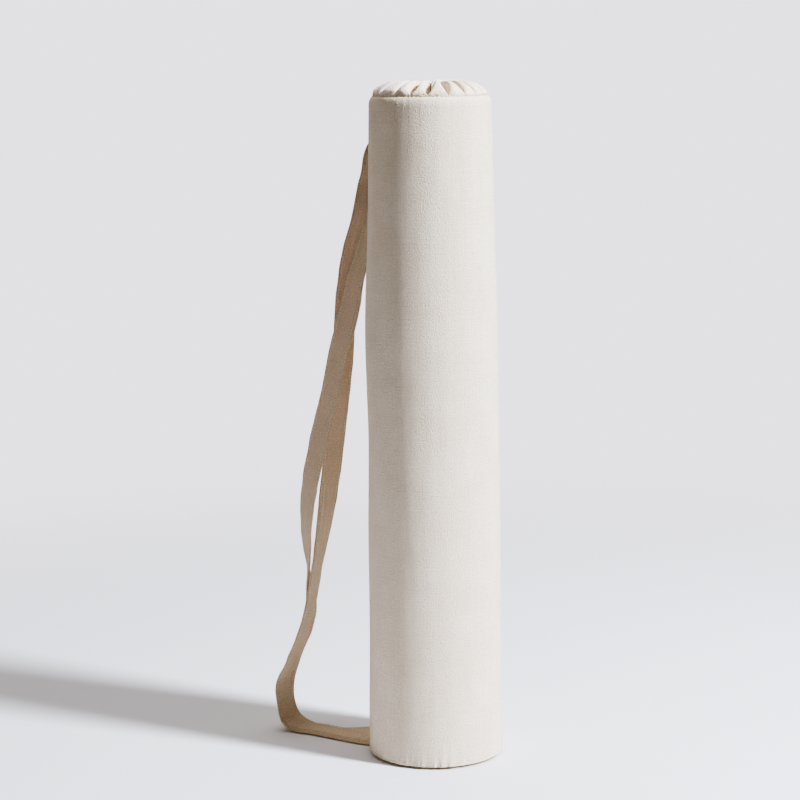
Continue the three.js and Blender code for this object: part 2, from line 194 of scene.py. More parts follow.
FAR_STRAP = {
    "rim_bearing": 36,
    "base_bearing": 58,
    "route": [
        {"rise": 0.975, "reach": 0.945, "bearing": 36, "face": 56, "cup": 0.1},
        {"rise": 0.93, "reach": 0.965, "bearing": 36, "face": 62, "cup": 0.1},
        {"rise": 0.88, "reach": 1.0, "bearing": 35.5, "face": 80, "cup": 0.2},
        {"rise": 0.835, "reach": 1.06, "bearing": 35, "face": 100, "cup": 0.3},
        {"rise": 0.795, "reach": 1.135, "bearing": 34.5, "face": 119, "cup": 0.3},
        {"rise": 0.76, "reach": 1.22, "bearing": 33, "face": 126, "cup": 0.4},
        {"rise": 0.725, "reach": 1.32, "bearing": 31, "face": 132, "cup": 0.5},
        {"rise": 0.68, "reach": 1.42, "bearing": 30.3, "face": 137, "cup": 0.6},
        {"rise": 0.61, "reach": 1.61, "bearing": 29.2, "face": 138, "cup": 0.7},
        {"rise": 0.54, "reach": 1.775, "bearing": 28.4, "face": 137, "cup": 0.7},
        {"rise": 0.46, "reach": 1.985, "bearing": 27.5, "face": 135, "cup": 0.6},
        {"rise": 0.39, "reach": 2.145, "bearing": 27.3, "face": 126, "cup": 0.4},
        {"rise": 0.33, "reach": 2.245, "bearing": 28.9, "face": 116, "cup": 0.3},
        {"rise": 0.28, "reach": 2.3, "bearing": 31.3, "face": 104, "cup": 0.2},
        {"rise": 0.235, "reach": 2.345, "bearing": 33.6, "face": 84, "cup": 0.2},
        {"rise": 0.19, "reach": 2.365, "bearing": 35.4, "face": 70, "cup": 0.3},
        {"rise": 0.15, "reach": 2.46, "bearing": 34.9, "face": 64, "cup": 0.4},
        {"rise": 0.11, "reach": 2.62, "bearing": 32.6, "face": 60, "cup": 0.6},
        {"rise": 0.07, "reach": 2.71, "bearing": 30.9, "face": 60, "cup": 0.6},
        {"rise": 0.037, "reach": 2.71, "bearing": 30.5, "face": 58, "cup": 0.4},
        {"rise": 0.014, "reach": 2.61, "bearing": 30.4, "face": 55, "cup": 0.2},
        {"rise": 0.003, "reach": 2.38, "bearing": 30.4, "face": 52, "cup": 0.0},
        {"rise": 0.002, "reach": 2.02, "bearing": 29.2, "face": 54, "cup": 0.0},
        {"rise": 0.002, "reach": 1.74, "bearing": 29.6, "face": 60, "cup": 0.0},
        {"rise": 0.002, "reach": 1.5, "bearing": 35, "face": 72, "cup": 0.0},
        {"rise": 0.0025, "reach": 1.3, "bearing": 45.5, "face": 66, "cup": 0.0},
    ],
}

# Where the straps end at the base seam, as shares of the base radius, and how far their ends sink in
STRAP_NEAR = 1.14
STRAP_TUCK = 0.96
STRAP_SINK = 0.8 * MM


class Value:
    """A shader value, on which Python's own operators add Math nodes."""

    def __init__(self, nodes, socket):
        self.nodes = nodes
        self.socket = socket

    def math(self, operation, *values):
        return self.nodes.add("ShaderNodeMath", {"operation": operation}, dict(enumerate(values)))

    def __add__(self, other):
        return self.math("ADD", self, other)

    def __radd__(self, other):
        return self.math("ADD", other, self)

    def __sub__(self, other):
        return self.math("SUBTRACT", self, other)

    def __rsub__(self, other):
        return self.math("SUBTRACT", other, self)

    def __mul__(self, other):
        return self.math("MULTIPLY", self, other)

    def __rmul__(self, other):
        return self.math("MULTIPLY", other, self)

    def __truediv__(self, other):
        return self.math("DIVIDE", self, other)

    def __rtruediv__(self, other):
        return self.math("DIVIDE", other, self)

    def __pow__(self, other):
        return self.math("POWER", self, other)

    def __mod__(self, other):
        return self.math("FLOORED_MODULO", self, other)

    def __abs__(self):
        return self.math("ABSOLUTE", self)

    def __floor__(self):
        return self.math("FLOOR", self)

    def sine(self):
        return self.math("SINE", self)


class Nodes:
    """Adds nodes to one tree and hands back their outputs."""

    def __init__(self, tree):
        self.tree = tree
        tree.nodes.clear()

    def add(self, kind, settings=None, inputs=None, output=0):
        made = self.tree.nodes.new(kind)
        for name, value in (settings or {}).items():
            setattr(made, name, value)
        for name, value in (inputs or {}).items():
            if isinstance(value, Value):
                self.tree.links.new(value.socket, made.inputs[name])
            else:
                made.inputs[name].default_value = value
        return Value(self, made.outputs[output]) if made.outputs else made

    def split(self, vector):
        made = self.add("ShaderNodeSeparateXYZ", None, {0: vector}).socket.node
        return [Value(self, output) for output in made.outputs]

    def join(self, x, y=0.0, z=0.0):
        return self.add("ShaderNodeCombineXYZ", None, {0: x, 1: y, 2: z})

    def blend(self, factor, low, high):
        settings = {"data_type": "RGBA", "clamp_factor": True}
        return self.add("ShaderNodeMix", settings, {0: factor, 6: low, 7: high}, 2)

    def noise(self, vector, scale, detail=2.0, dimensions="2D"):
        inputs = {"Vector": vector, "Scale": scale, "Detail": detail}
        return self.add("ShaderNodeTexNoise", {"noise_dimensions": dimensions}, inputs)


def linear(red, green, blue):
    """A colour from its three 0-255 display values, in linear light and opaque."""
    def one(value):
        share = value / 255
        return share / 12.92 if share <= 0.04045 else ((share + 0.055) / 1.055) ** 2.4
    return (one(red), one(green), one(blue), 1.0)


def smooth_read(keys, values, at):
    """Cubic Hermite reading of a table of values at places between its keys."""
    keys, values, at = (np.asarray(item, float) for item in (keys, values, at))
    slopes = np.gradient(values, keys, axis=0)
    index = np.clip(np.searchsorted(keys, at, side="right") - 1, 0, len(keys) - 2)
    span = keys[index + 1] - keys[index]
    t = np.clip((at - keys[index]) / span, 0, 1)
    if values.ndim > 1:
        span, t = span[:, None], t[:, None]
    t2, t3 = t * t, t * t * t
    return (
        (2 * t3 - 3 * t2 + 1) * values[index]
        + (t3 - 2 * t2 + t) * span * slopes[index]
        + (3 * t2 - 2 * t3) * values[index + 1]
        + (t3 - t2) * span * slopes[index + 1]
    )


def plan_point(bearing, reach, z):
    angle = math.radians(bearing)
    return np.array([-reach * math.cos(angle), reach * math.sin(angle), z])


def wander(x, y, seed):
    """Smooth noise from -1 to 1 in two directions."""
    return noise.noise(Vector((x, y, 17.3 * seed)))


def ring_mesh(name, rings, uvs, wrap_rings):
    """A mesh from rings of points, each closed round, that run from a cap or a loop to another."""
    rings = np.asarray(rings)
    count, around = rings.shape[:2]
    faces, corners = [], []
    for ring in range(count if wrap_rings else count - 1):
        after = (ring + 1) % count
        for i in range(around):
            j = (i + 1) % around
            faces.append((ring * around + i, ring * around + j, after * around + j, after * around + i))
            corners += [uvs[ring][i], uvs[ring][i + 1], uvs[after][i + 1], uvs[after][i]]
    mesh = bpy.data.meshes.new(name)
    mesh.from_pydata(rings.reshape(-1, 3).tolist(), [], faces)
    layer = mesh.uv_layers.new(name="cloth")
    layer.data.foreach_set("uv", np.asarray(corners, np.float32).ravel())
    return mesh


def piece_from(mesh, material):
    """An object for a closed mesh, with its faces turned outwards and shaded smooth."""
    work = bmesh.new()
    work.from_mesh(mesh)
    bmesh.ops.recalc_face_normals(work, faces=work.faces)
    work.to_mesh(mesh)
    work.free()
    mesh.polygons.foreach_set("use_smooth", [True] * len(mesh.polygons))
    mesh.materials.append(material)
    piece = bpy.data.objects.new(mesh.name, mesh)
    bpy.context.scene.collection.objects.link(piece)
    return piece


# Finishes

def woven_cloth(name, color, shade, pitch, glow=0.0):
    """Undyed plain weave on a UV map in metres. shade is the darker end of its colour, taken as painted
    shade in the hollows between the yarns and as the low end of their own uneven tone. pitch is the
    yarns' spacing, and glow how much light comes through."""
    material = bpy.data.materials.new(name)
    material.use_nodes = True
    nodes = Nodes(material.node_tree)
    uv = nodes.add("ShaderNodeUVMap", {"uv_map": "cloth"})
    across, along, _ = nodes.split(uv)

    # The yarns wander a little to the side, so that no row is quite straight
    sway = (nodes.noise(uv, 90.0) - 0.5) * (1.2 * pitch)
    column = (across + sway) / pitch
    row = (along - sway) / pitch
    column_number = math.floor(column)
    row_number = math.floor(row)
    weft_up = (column_number + row_number) % 2.0
    warp_round = abs((column * math.pi).sine())
    weft_round = abs((row * math.pi).sine())
    yarn = (warp_round ** (0.45 + weft_up * 0.8)) * (weft_round ** (1.25 - weft_up * 0.8))

    # Thick and thin yarns, the slubs that run along them, and the crepe-like grain of the spinning
    warp_thick = nodes.add("ShaderNodeTexWhiteNoise", {"noise_dimensions": "1D"}, {"W": column_number})
    weft_thick = nodes.add("ShaderNodeTexWhiteNoise", {"noise_dimensions": "1D"}, {"W": row_number + 0.37})
    warp_slub = nodes.noise(nodes.join(column_number * 0.83, along * 90.0), 1.0)
    weft_slub = nodes.noise(nodes.join(across * 90.0, row_number * 0.83), 1.0)
    warp_part = (warp_slub - 0.5) * 1.6 + (warp_thick - 0.5) * 0.4
    weft_part = (weft_slub - 0.5) * 1.6 + (weft_thick - 0.5) * 0.5
    slubs = warp_part * (1.0 - weft_up) + weft_part * weft_up
    grain = nodes.noise(uv, 700.0, 2.0) - 0.5
    patches = nodes.noise(uv, 24.0, 3.0) - 0.5
    height = yarn * (0.05 * MM) + slubs * (0.1 * MM) + grain * (0.5 * MM) + patches * (0.6 * MM)

    # The yarns' crowns are lighter than the hollows between them: painted shade in the weave. The slubs,
    # grain and patches add the cloth's own uneven tone.
    tone = 0.5 + yarn * 0.4 + slubs * 0.26 + grain * 0.8 + patches * 0.3
    surface = nodes.add("ShaderNodeBsdfPrincipled", None, {
        "Base Color": nodes.blend(tone, shade, color),
        "Roughness": 0.88 + patches * 0.1,
        "Specular IOR Level": 0.15,
        "Sheen Weight": 0.15,
        "Sheen Roughness": 0.5,
        "Subsurface Weight": glow,
        "Subsurface Radius": (1.0, 0.42, 0.16),
        "Subsurface Scale": 3.0 * MM,
        "Normal": nodes.add("ShaderNodeBump", None, {"Distance": 1.0, "Height": height}),
    })
    nodes.add("ShaderNodeOutputMaterial", None, {"Surface": surface})
    return material


def sewing_thread(name, color, shade):
    """Twisted thread, on Object coordinates."""
    material = bpy.data.materials.new(name)
    material.use_nodes = True
    nodes = Nodes(material.node_tree)
    place = nodes.add("ShaderNodeTexCoord", None, None, "Object")
    twist = nodes.noise(place, 2600.0, 1.0, "3D")
    surface = nodes.add("ShaderNodeBsdfPrincipled", None, {
        "Base Color": nodes.blend(twist, shade, color),
        "Roughness": 0.62,
        "Normal": nodes.add("ShaderNodeBump", None, {"Distance": 0.08 * MM, "Height": twist}),
    })
    nodes.add("ShaderNodeOutputMaterial", None, {"Surface": surface})
    return material


# The tube

def bearing_of(x, y):
    return math.degrees(math.atan2(y, -x)) % 360


def measured_tube():
    """The tube's outer radius on the frame: its heights, and a row of radii round it for each."""
    step = 360 / CAD_COLUMNS
    levels = {}
    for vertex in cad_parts["tube_body"].data.vertices:
        x, y, z = vertex.co
        if z < LIP_START + 0.1 * MM:
            column = round(bearing_of(x, y) / step) % CAD_COLUMNS
            near = [level for level in levels if abs(level - z) < MM]
            row = levels.setdefault(near[0] if near else z, [0.0] * CAD_COLUMNS)
            row[column] = max(row[column], math.hypot(x, y))
    heights = sorted(levels)
    return np.array(heights), np.array([levels[height] for height in heights])


TUBE_LEVELS, TUBE_RADII = measured_tube()


def tube_radii(heights, columns):
    """The tube's smooth radius at each height, in that many columns round it."""
    round_it = np.fft.irfft(np.fft.rfft(TUBE_RADII, axis=1), n=columns, axis=1) * columns / CAD_COLUMNS
    return smooth_read(TUBE_LEVELS, round_it, heights)


def lap_profile(bearing):
    """How far the lap seam raises the cloth at a bearing, as a share of its rise."""
    off = abs((bearing - LAP_BEARING + 180) % 360 - 180)
    beside = math.radians(off) * BASE_RADIUS - LAP_WIDTH / 2
    return 1 / (1 + math.exp(beside / (0.35 * MM)))


def cloth_relief(bearing, z):
    """Soft pulls and puckers of the filled tube, in metres, outwards where positive."""
    angle = math.radians(bearing)
    x, y = math.cos(angle), math.sin(angle)
    long_pull = noise.noise(Vector((2.6 * x, 2.6 * y, z * 7.0)))
    short_pull = noise.noise(Vector((7.5 * x, 7.5 * y, z * 13.0 + 9.0)))
    foot_pucker = noise.noise(Vector((17.0 * x, 17.0 * y, z * 26.0 + 4.0)))
    rim_pucker = noise.noise(Vector((20.0 * x, 20.0 * y, z * 30.0 + 31.0)))
    at_foot = math.exp(-(z - TUBE_FOOT) / (9 * MM))
    at_rim = math.exp((z - BAG_HEIGHT) / (8 * MM))
    pulls = 0.5 * long_pull + 0.16 * short_pull
    drawn_in = math.exp(-((z - BASE_STITCH) / (0.9 * MM)) ** 2)
    return MM * (pulls + 1.1 * foot_pucker * at_foot + 0.6 * rim_pucker * at_rim - 0.35 * drawn_in)


def tube_levels():
    """Heights up the tube's wall, close together near the two seams."""
    heights = [TUBE_FOOT]
    while heights[-1] < LIP_FOOT:
        from_end = min(heights[-1] - TUBE_FOOT, LIP_FOOT - heights[-1])
        heights.append(heights[-1] + (0.6 + min(from_end / MM, 40) * 0.07) * MM)
    heights[-1] = LIP_FOOT
    return heights


def tube_rings(heights, offset, fine):
    """Rings of the tube's skin and of its rolled lip, moved out by a distance, with their lengths.
    The fine skin also has its relief and the hem that turns in under its foot."""
    radii = tube_radii(heights, TUBE_COLUMNS)
    bearings = np.arange(TUBE_COLUMNS) * 360 / TUBE_COLUMNS
    relief = [[cloth_relief(b, z) + LAP_RISE * lap_profile(b) for b in bearings] for z in heights]
    radii = radii + np.array(relief) * fine
    rings, runs = [], []
    for turn in (90, 70, 48, 26) if fine else ():
        angle = math.radians(turn)
        z, inward = TUBE_FOOT - FOOT_TURN * math.sin(angle), FOOT_TURN * (1 - math.cos(angle))
        rings.append([plan_point(b, r - inward, z) for b, r in zip(bearings, radii[0])])
        runs.append(TUBE_FOOT - FOOT_TURN * angle)
    for z, row in zip(heights, radii):
        rings.append([plan_point(b, r + offset, z) for b, r in zip(bearings, row)])
        runs.append(z)
    steps = 9
    for step in range(1, steps + 1):
        turn = math.pi / 2 * step / steps
        edge = radii[-1] - LIP_RADIUS + (LIP_RADIUS + offset) * math.cos(turn)
        z = LIP_FOOT + (LIP_DROP + offset) * math.sin(turn)
        rings.append([plan_point(b, r, z) for b, r in zip(bearings, edge)])
        runs.append(LIP_FOOT + LIP_DROP * math.sin(turn))
    return rings, runs


def cloth_uvs(runs, width, columns):
    """A UV row for each ring: the place round the piece and the run along it, in metres."""
    return [[(width * i / columns, run) for i in range(columns + 1)] for run in runs]


def make_tube(material):
    outer, outer_runs = tube_rings(tube_levels(), 0.0, 1.0)
    inner_levels = np.linspace(TUBE_FOOT, LIP_FOOT, 26)
    inner, inner_runs = tube_rings(inner_levels, -BODY_WALL, 0.0)
    rings = outer + inner[::-1]
    runs = outer_runs + inner_runs[::-1]
    width = 2 * math.pi * BASE_RADIUS
    mesh = ring_mesh("bag_tube", rings, cloth_uvs(runs, width, TUBE_COLUMNS), True)
    return piece_from(mesh, material)


# The base panel

def make_base(material):
    """A round panel whose edge lies under the tube's hem, puckered a little where it is sewn."""
    bearings = np.arange(TUBE_COLUMNS) * 360 / TUBE_COLUMNS
    profile = [(share * PANEL_FLAT, 0.0) for share in np.linspace(0.02, 1, PANEL_RINGS)]
    for turn in np.linspace(0, math.pi / 2, 5)[1:]:
        profile.append((PANEL_FLAT + PANEL_EDGE * math.sin(turn), PANEL_EDGE * (1 - math.cos(turn))))
    profile += [(PANEL_FLAT - inward * MM, z * MM) for inward, z in ((0.0, 0.78), (0.6, 0.82), (0.9, 1.4))]
    profile += [(share * (PANEL_FLAT - 1.1 * MM), PANEL_TOP) for share in np.linspace(1, 0.02, 14)]
    rings, uvs = [], []
    for reach, z in profile:
        ring = []
        for b in bearings:
            at_edge = math.exp((reach - PANEL_FLAT) / (3 * MM)) if z > 0.1 * MM else 0.0
            pucker = 0.3 * MM * at_edge * noise.noise(Vector((0.9 * b, z * 300, 3.0)))
            ring.append(plan_point(b, reach + min(pucker, 0.0), z))
        rings.append(ring)
        uvs.append([tuple(ring[i % TUBE_COLUMNS][:2]) for i in range(TUBE_COLUMNS + 1)])
    mesh = ring_mesh("base_round", rings, uvs, False)
    close_ends(mesh, TUBE_COLUMNS)
    return piece_from(mesh, material)


def close_ends(mesh, around):
    """Caps the first and last ring of a mesh with one face each."""
    work = bmesh.new()
    work.from_mesh(mesh)
    work.verts.ensure_lookup_table()
    total = len(work.verts)
    for start in (0, total - around):
        work.faces.new([work.verts[start + i] for i in range(around)])
    work.to_mesh(mesh)
    work.free()


# The gathered top

def lobe(place, depth, before, after, width):
    """One pleat across, at a place from -1 to 1 between its valleys: how far to the side of its
    middle, and how far under its crest. before and after are the half gaps beside it."""
    side = 1 if place > 0 else -1
    half_gap = after if place > 0 else before
    flank = width / 2 - half_gap
    inward = abs(place) / (1 - SEAM_SHARE)
    if inward < 1:
        turn = math.pi / 2 * (1 - inward)
        across = flank * math.cos(turn) ** (2 / LOBE_SQUARENESS)
        return side * across, depth * (1 - math.sin(turn) ** (2 / LOBE_SQUARENESS))
    turn = math.pi / 2 * (inward - 1) * (1 - SEAM_SHARE) / SEAM_SHARE
    return side * (flank + half_gap * (1 - math.cos(turn))), depth + half_gap * math.sin(turn)


def top_ring(position, reach, lift, fold, seam_radius, top_height, seam_z):
    """The middle of the cloth all the way round, at one row of the profile."""
    inside = THROAT_RADIUS + (seam_radius - THROAT_RADIUS) * reach
    depth = fold * top_height
    total = sum(pleat["width"] for pleat in PLEATS)
    angle = math.radians(FIRST_PLEAT)
    ring = []
    for index, pleat in enumerate(PLEATS):
        wide = 2 * math.pi * pleat["width"] / total
        width = wide * inside
        open_now = min(1.0, depth / (7 * MM)) * (1.5 - 0.8 * reach) * MM / 2
        before = max(0.04 * MM, min(PLEATS[index - 1]["gap"] * open_now, 0.32 * width))
        after = max(0.04 * MM, min(pleat["gap"] * open_now, 0.32 * width))
        for column in range(PLEAT_COLUMNS):
            place = 2 * column / PLEAT_COLUMNS - 1
            across, under = lobe(place, depth, before, after, width)
            crest = 1 - min(1.0, under / depth) if depth > 0 else 1.0
            lean = pleat["lean"] * fold * crest * wide
            twist = math.radians(TOP_TWIST) * (1 - min(reach, 1.0)) ** 1.5
            at = angle + wide / 2 + across / inside + lean + twist
            crease = wander(across / (3.2 * MM), position * 0.8 + 5.3 * index, 2)
            dimple = wander(across / (7 * MM) + 9.1, position * 0.45 + 3.7 * index, 5)
            pucker = math.exp(-abs(position - 2.6) / 0.8) * wander(at * 23, position * 1.4, 7)
            soft = min(1.0, max(0.0, position - 1.5))
            out = MM * (0.35 * crease * soft + 0.65 * dimple * soft + 0.7 * pucker)
            radius = inside + 1.6 * TOP_CLOTH * fold * crest * reach + out * (0.4 + 0.6 * reach)
            rise = lift * (1 + (pleat["height"] - 1) * crest)
            z = seam_z + top_height * rise - under + out * (1 - 0.6 * reach)
            ring.append((radius * math.sin(at), -radius * math.cos(at), z))
        angle += wide
    return ring


def top_rings():
    seam_radius = tube_radii([LIP_START], CAD_COLUMNS).mean() - LIP_RADIUS + TOP_CLOTH / 2
    top_height = TOP_CREST - TOP_FOOT - TOP_CLOTH
    seam_z = TOP_FOOT + TOP_CLOTH / 2
    rows = np.arange(len(TOP_PROFILE), dtype=float)
    table = np.array([[row[key] for key in ("reach", "lift", "fold")] for row in TOP_PROFILE])
    positions = np.linspace(0, len(TOP_PROFILE) - 1, TOP_RINGS)
    rings = []
    for position, (reach, lift, fold) in zip(positions, smooth_read(rows, table, positions)):
        fold = max(fold, 0.0)
        rings.append(top_ring(position, reach, lift, fold, seam_radius, top_height, seam_z))
    rings = [np.array(ring) for ring in rings]
    return np.array(rings + hem_rings(rings[-1]))


def make_top(material):
    """Cloth drawn into pleats over the mouth, from inside the rim to a small throat with a hem."""
    rings = top_rings()
    outer = offset_rings(rings, TOP_CLOTH / 2)
    inner = offset_rings(rings, -TOP_CLOTH / 2)
    steps = np.linalg.norm(np.diff(rings, axis=0), axis=2).mean(axis=1)
    runs = np.concatenate([[0], np.cumsum(steps)])
    width = 2 * math.pi * BASE_RADIUS * 1.3
    columns = PLEAT_COLUMNS * len(PLEATS)
    uvs = cloth_uvs(list(runs) + list(runs[::-1]), width, columns)
    mesh = ring_mesh("pleated_top", np.concatenate([outer, inner[::-1]]), uvs, True)
    return piece_from(mesh, material), outer


def hem_rings(throat):
    """The throat's edge, turned down inside the top."""
    rings = []
    for step in range(1, 8):
        turn = math.pi / 2 * min(step, 4) / 4
        down = HEM_DEPTH * max(0, step - 4) / 3 + 1.6 * MM * (1 - math.cos(turn))
        inward = 1.6 * MM * math.sin(turn)
        ring = []
        for point in throat:
            reach = math.hypot(point[0], point[1])
            ring.append(np.array([
                point[0] * (reach - inward) / reach,
                point[1] * (reach - inward) / reach,
                point[2] - down,
            ]))
        rings.append(ring)
    return rings


def offset_rings(rings, distance):
    """Rings moved a distance along the surface's own normals."""
    around = np.roll(rings, -1, axis=1) - np.roll(rings, 1, axis=1)
    along = np.gradient(rings, axis=0)
    normal = np.cross(around, along)
    normal /= np.linalg.norm(normal, axis=2, keepdims=True)
    return rings + normal * distance


# The straps

def strap_stations(strap):
    """A strap's places from the rim seam to the base seam, with its face and cup at each."""
    rim_radius = tube_radii([LIP_START], CAD_COLUMNS).mean()
    high = BAG_HEIGHT + PIECE_GAP + STRAP_THICKNESS / 2
    rim, base = strap["rim_bearing"], strap["base_bearing"]
    outside = rim_radius + PIECE_GAP + STRAP_THICKNESS / 2
    stations = [
        (plan_point(rim, rim_radius - LIP_RADIUS + TOP_CLOTH / 2, high), 90 - rim, 0.0),
        (plan_point(rim, rim_radius - LIP_RADIUS / 2, high), 90 - rim, 0.0),
        (plan_point(rim, outside, BAG_HEIGHT - LIP_RADIUS / 2), 90 - rim, 0.0),
    ]
    for row in strap["route"]:
        place = plan_point(row["bearing"], BASE_RADIUS * row["reach"], BAG_HEIGHT * row["rise"])
        stations.append((place, row["face"], row["cup"]))
    for share in (STRAP_NEAR, STRAP_TUCK):
        stations.append((plan_point(base, BASE_RADIUS * share, TUBE_FOOT), 90 - base, 0.0))
    lowest = STRAP_THICKNESS / 2 + FLOOR_LIFT
    for place, _, _ in stations:
        place[2] = max(place[2], lowest)
    return stations


def centripetal(points, at):
    """A place and its direction on the centripetal curve through points, at a station number."""
    points = [2 * points[0] - points[1], *points, 2 * points[-1] - points[-2]]
    low = min(int(at), len(points) - 4)
    t = at - low
    p0, p1, p2, p3 = points[low : low + 4]
    d0, d1, d2 = (math.sqrt(np.linalg.norm(b - a)) for a, b in ((p0, p1), (p1, p2), (p2, p3)))
    m1 = d1 * ((p1 - p0) / d0 - (p2 - p0) / (d0 + d1) + (p2 - p1) / d1)
    m2 = d1 * ((p2 - p1) / d1 - (p3 - p1) / (d1 + d2) + (p3 - p2) / d2)
    a, b = 2 * p1 - 2 * p2 + m1 + m2, -3 * p1 + 3 * p2 - 2 * m1 - m2
    place = ((a * t + b) * t + m1) * t + p1
    along = (3 * a * t + 2 * b) * t + m1
    return place, along / np.linalg.norm(along)


def strap_frames(strap):
    """Evenly spaced frames along a strap: place, across, through, cup, how freely the tape ripples
    there from 0 to 1, and run in metres."""
    stations = strap_stations(strap)
    points = [station[0] for station in stations]
    keys = np.arange(len(stations), dtype=float)
    turns = np.array([station[1:] for station in stations])
    fine = np.linspace(0, len(stations) - 1, 40 * len(stations))
    places = np.array([centripetal(points, at)[0] for at in fine])
    runs = np.concatenate([[0], np.cumsum(np.linalg.norm(np.diff(places, axis=0), axis=1))])
    first, last = strap_ends(places, runs)
    count = int((last - first) / STRAP_STEP)
    frames = []
    for run in np.linspace(first, last, count + 1):
        at = float(np.interp(run, runs, fine))
        place, along = centripetal(points, at)
        face, cup = smooth_read(keys, turns, [at])[0]
        across = np.array([math.cos(math.radians(face)), math.sin(math.radians(face)), 0.0])
        across -= along * across.dot(along)
        across /= np.linalg.norm(across)
        free = min(1.0, max(0.1, (place[2] - 5 * MM) / (20 * MM)))
        frames.append((place, across, np.cross(across, along), cup * MM, free, run - first))
    return frames


def strap_ends(places, runs):
    """The runs at which a strap leaves the rim seam and meets the base seam."""
    reach = np.hypot(places[:, 0], places[:, 1])
    crown_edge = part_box("gathered_top")[1].x + 0.2 * MM
    inside_top = np.nonzero((places[:, 2] > BAG_HEIGHT) & (reach < crown_edge))[0]
    first = runs[inside_top[-1]]
    low = np.nonzero((places[:, 2] < 20 * MM) & (reach < BASE_RADIUS - STRAP_SINK))[0]
    return first, runs[low[0]]


def strap_skin(x, side, cup, free, run, seed):
    """How far a tape's face stands off its route's plane, at a distance across it. Its two margins
    are turned in, so they are a little thicker."""
    half, deep = STRAP_WIDTH / 2, STRAP_THICKNESS / 2
    edge = max(0.0, abs(x) - (half - deep * 1.1)) / (deep * 1.1)
    groove = math.exp(-(((half - abs(x)) - STITCH_INSET) / (0.6 * MM)) ** 2)
    body = deep * math.sqrt(max(0.0, 1 - edge * edge)) - STITCH_GROOVE * groove
    margin = max(0.0, (abs(x) - 0.55 * half) / (0.45 * half))
    pull = wander(run * 75, x / half * 1.3, seed) * 0.6 * margin
    slack = wander(run * 24, x / half * 0.6 + 4.4, seed + 1) * 0.5
    tension = wander(x / (2.4 * MM), run * 9, seed + 2) * 0.4 * (1 - margin)
    turned = MARGIN_STEP / (1 + math.exp((half - MARGIN_WIDTH - abs(x)) / (0.35 * MM)))
    body += turned - MARGIN_STEP
    bow = cup * (0.5 - (x / half) ** 2)
    return bow + (pull + slack + tension) * free * MM + side * body


def strap_ring(frame_at, seed):
    """Points round the tape, up its one face and back down the other. Near the floor its front edge
    sinks beside what it lies on."""
    place, across, through, *shape = frame_at
    half = STRAP_WIDTH / 2
    shares = [0.0, 0.09, 0.18, 0.27, 0.35, 0.42, 0.47, 0.51, 0.56, 0.62, 0.69, 0.74, 0.79, 0.84, 0.89, 0.94,
              0.97, 0.985, 0.998]
    shares = [-share for share in shares[:0:-1]] + shares
    upper = [(share * half, strap_skin(share * half, 1, *shape, seed)) for share in shares]
    lower = [(share * half, strap_skin(share * half, -1, *shape, seed)) for share in shares[::-1]]
    ring = [place + across * x + through * y for x, y in upper + lower]
    spare = min(max(0.0, place[2] - STRAP_THICKNESS / 2 - FLOOR_LIFT), SETTLE_DEPTH)
    low = max(0.0, 1 - place[2] / (14 * MM))
    forward = -1 if across[1] > 0 else 1
    for point, (x, _) in zip(ring, upper + lower):
        overhang = min(1.0, max(0.0, (forward * x - SETTLE_START) / (STRAP_WIDTH / 2 - SETTLE_START)))
        point[2] -= spare * min(1.0, 1.6 * low) * overhang ** 1.4
    return ring


def make_strap(name, strap, seed, material):
    frames = strap_frames(strap)
    rings = np.array([strap_ring(frame_at, seed) for frame_at in frames])
    middle = rings[len(rings) // 2]
    sides = np.linalg.norm(np.roll(middle, -1, axis=0) - middle, axis=1)
    round_it = np.concatenate([[0], np.cumsum(sides)])
    uvs = [[(u, frame_at[5]) for u in round_it] for frame_at in frames]
    mesh = ring_mesh(name, rings, uvs, False)
    close_ends(mesh, rings.shape[1])
    return piece_from(mesh, material), frames


# Sewing

def stitch_tree(material):
    """Lays a twisted stitch at even steps along every line of a mesh."""
    tree = bpy.data.node_groups.new("running_stitch", "GeometryNodeTree")
    tree.interface.new_socket("Lines", in_out="INPUT", socket_type="NodeSocketGeometry")
    sockets = {}
    for name, kind, value in (("Pitch", "NodeSocketFloat", STITCH_PITCH),
                              ("Length", "NodeSocketFloat", STITCH_LENGTH),
                              ("Thickness", "NodeSocketFloat", STITCH_THICKNESS),
                              ("Seed", "NodeSocketInt", 1)):
        sockets[name] = tree.interface.new_socket(name, in_out="INPUT", socket_type=kind)
        sockets[name].default_value = value
    tree.interface.new_socket("Stitches", in_out="OUTPUT", socket_type="NodeSocketGeometry")
    nodes = Nodes(tree)
    given = nodes.add("NodeGroupInput").socket.node
    lines, pitch, length, thickness, seed = (Value(nodes, output) for output in given.outputs[:5])
    curve = nodes.add("GeometryNodeMeshToCurve", None, {"Mesh": lines})
    steps = nodes.add("GeometryNodeResampleCurve", {"mode": "LENGTH"}, {"Curve": curve, "Length": pitch})
    bead = nodes.add("GeometryNodeMeshUVSphere", None, {"Segments": 6, "Rings": 4, "Radius": 0.5})
    along = nodes.add("FunctionNodeAlignRotationToVector", {"axis": "X"},
                      {"Vector": nodes.add("GeometryNodeInputTangent")})
    uneven = nodes.add("FunctionNodeRandomValue", {"data_type": "FLOAT"},
                       {2: 0.85, 3: 1.1, "Seed": seed}, 1)
    size = nodes.join(length * uneven, thickness * uneven, thickness)
    laid = nodes.add("GeometryNodeInstanceOnPoints", None,
                     {"Points": steps, "Instance": bead, "Rotation": along, "Scale": size})
    real = nodes.add("GeometryNodeRealizeInstances", None, {"Geometry": laid})
    dressed = nodes.add("GeometryNodeSetMaterial", None, {"Geometry": real, "Material": material})
    nodes.add("NodeGroupOutput", None, {"Stitches": dressed})
    return tree, {name: socket.identifier for name, socket in sockets.items()}


